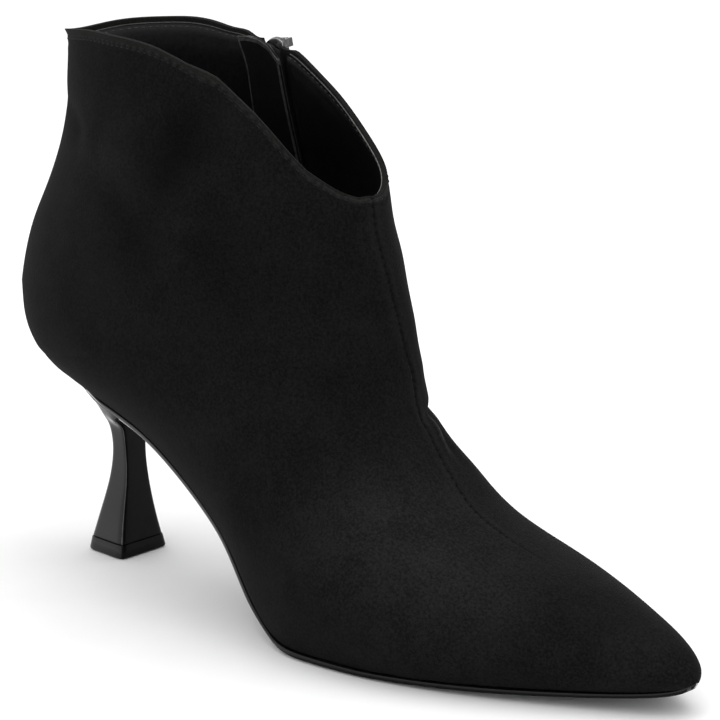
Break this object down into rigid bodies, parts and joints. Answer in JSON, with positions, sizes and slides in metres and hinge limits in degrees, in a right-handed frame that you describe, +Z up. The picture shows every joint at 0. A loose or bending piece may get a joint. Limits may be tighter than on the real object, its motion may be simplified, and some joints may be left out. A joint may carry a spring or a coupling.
{
  "type": "heeled ankle boot",
  "caption": "Pointed ankle boot in matte suede with a dipped collar, a glossy flared high heel, a thin sole and a zip on its inner side.",
  "frame": {"origin": "on the floor under the middle of the boot's box", "axes": "+X toward the toe, +Y toward the inner side of the foot, +Z up"},
  "size_m": [0.2498, 0.076, 0.1645],
  "materials": {
    "suede": "matte nap",
    "sole_edge": "glossy edge",
    "lacquer": "gloss lacquer",
    "lift": "satin",
    "sock": "smooth",
    "zip_fabric": "woven",
    "guard": "smooth",
    "slider_metal": "polished",
    "pull_metal": "polished"
  },
  "bodies": {
    "boot": {"upper": "suede", "outsole": "sole_edge", "heel": "lacquer", "top_lift": "lift", "insole": "sock", "zip_tape": "zip_fabric", "zip_guard": "guard", "zip_slider": "slider_metal"},
    "pull": {"zip_pull": "pull_metal"}
  },
  "joints": [
    {"name": "zip_pull_hinge", "type": "hinge", "parent": "boot", "child": "pull", "pos_m": [-0.05316, 0.03468, 0.15719], "axis": [0.989, -0.0047, 0.148], "range_deg": [0, 150]}
  ]
}
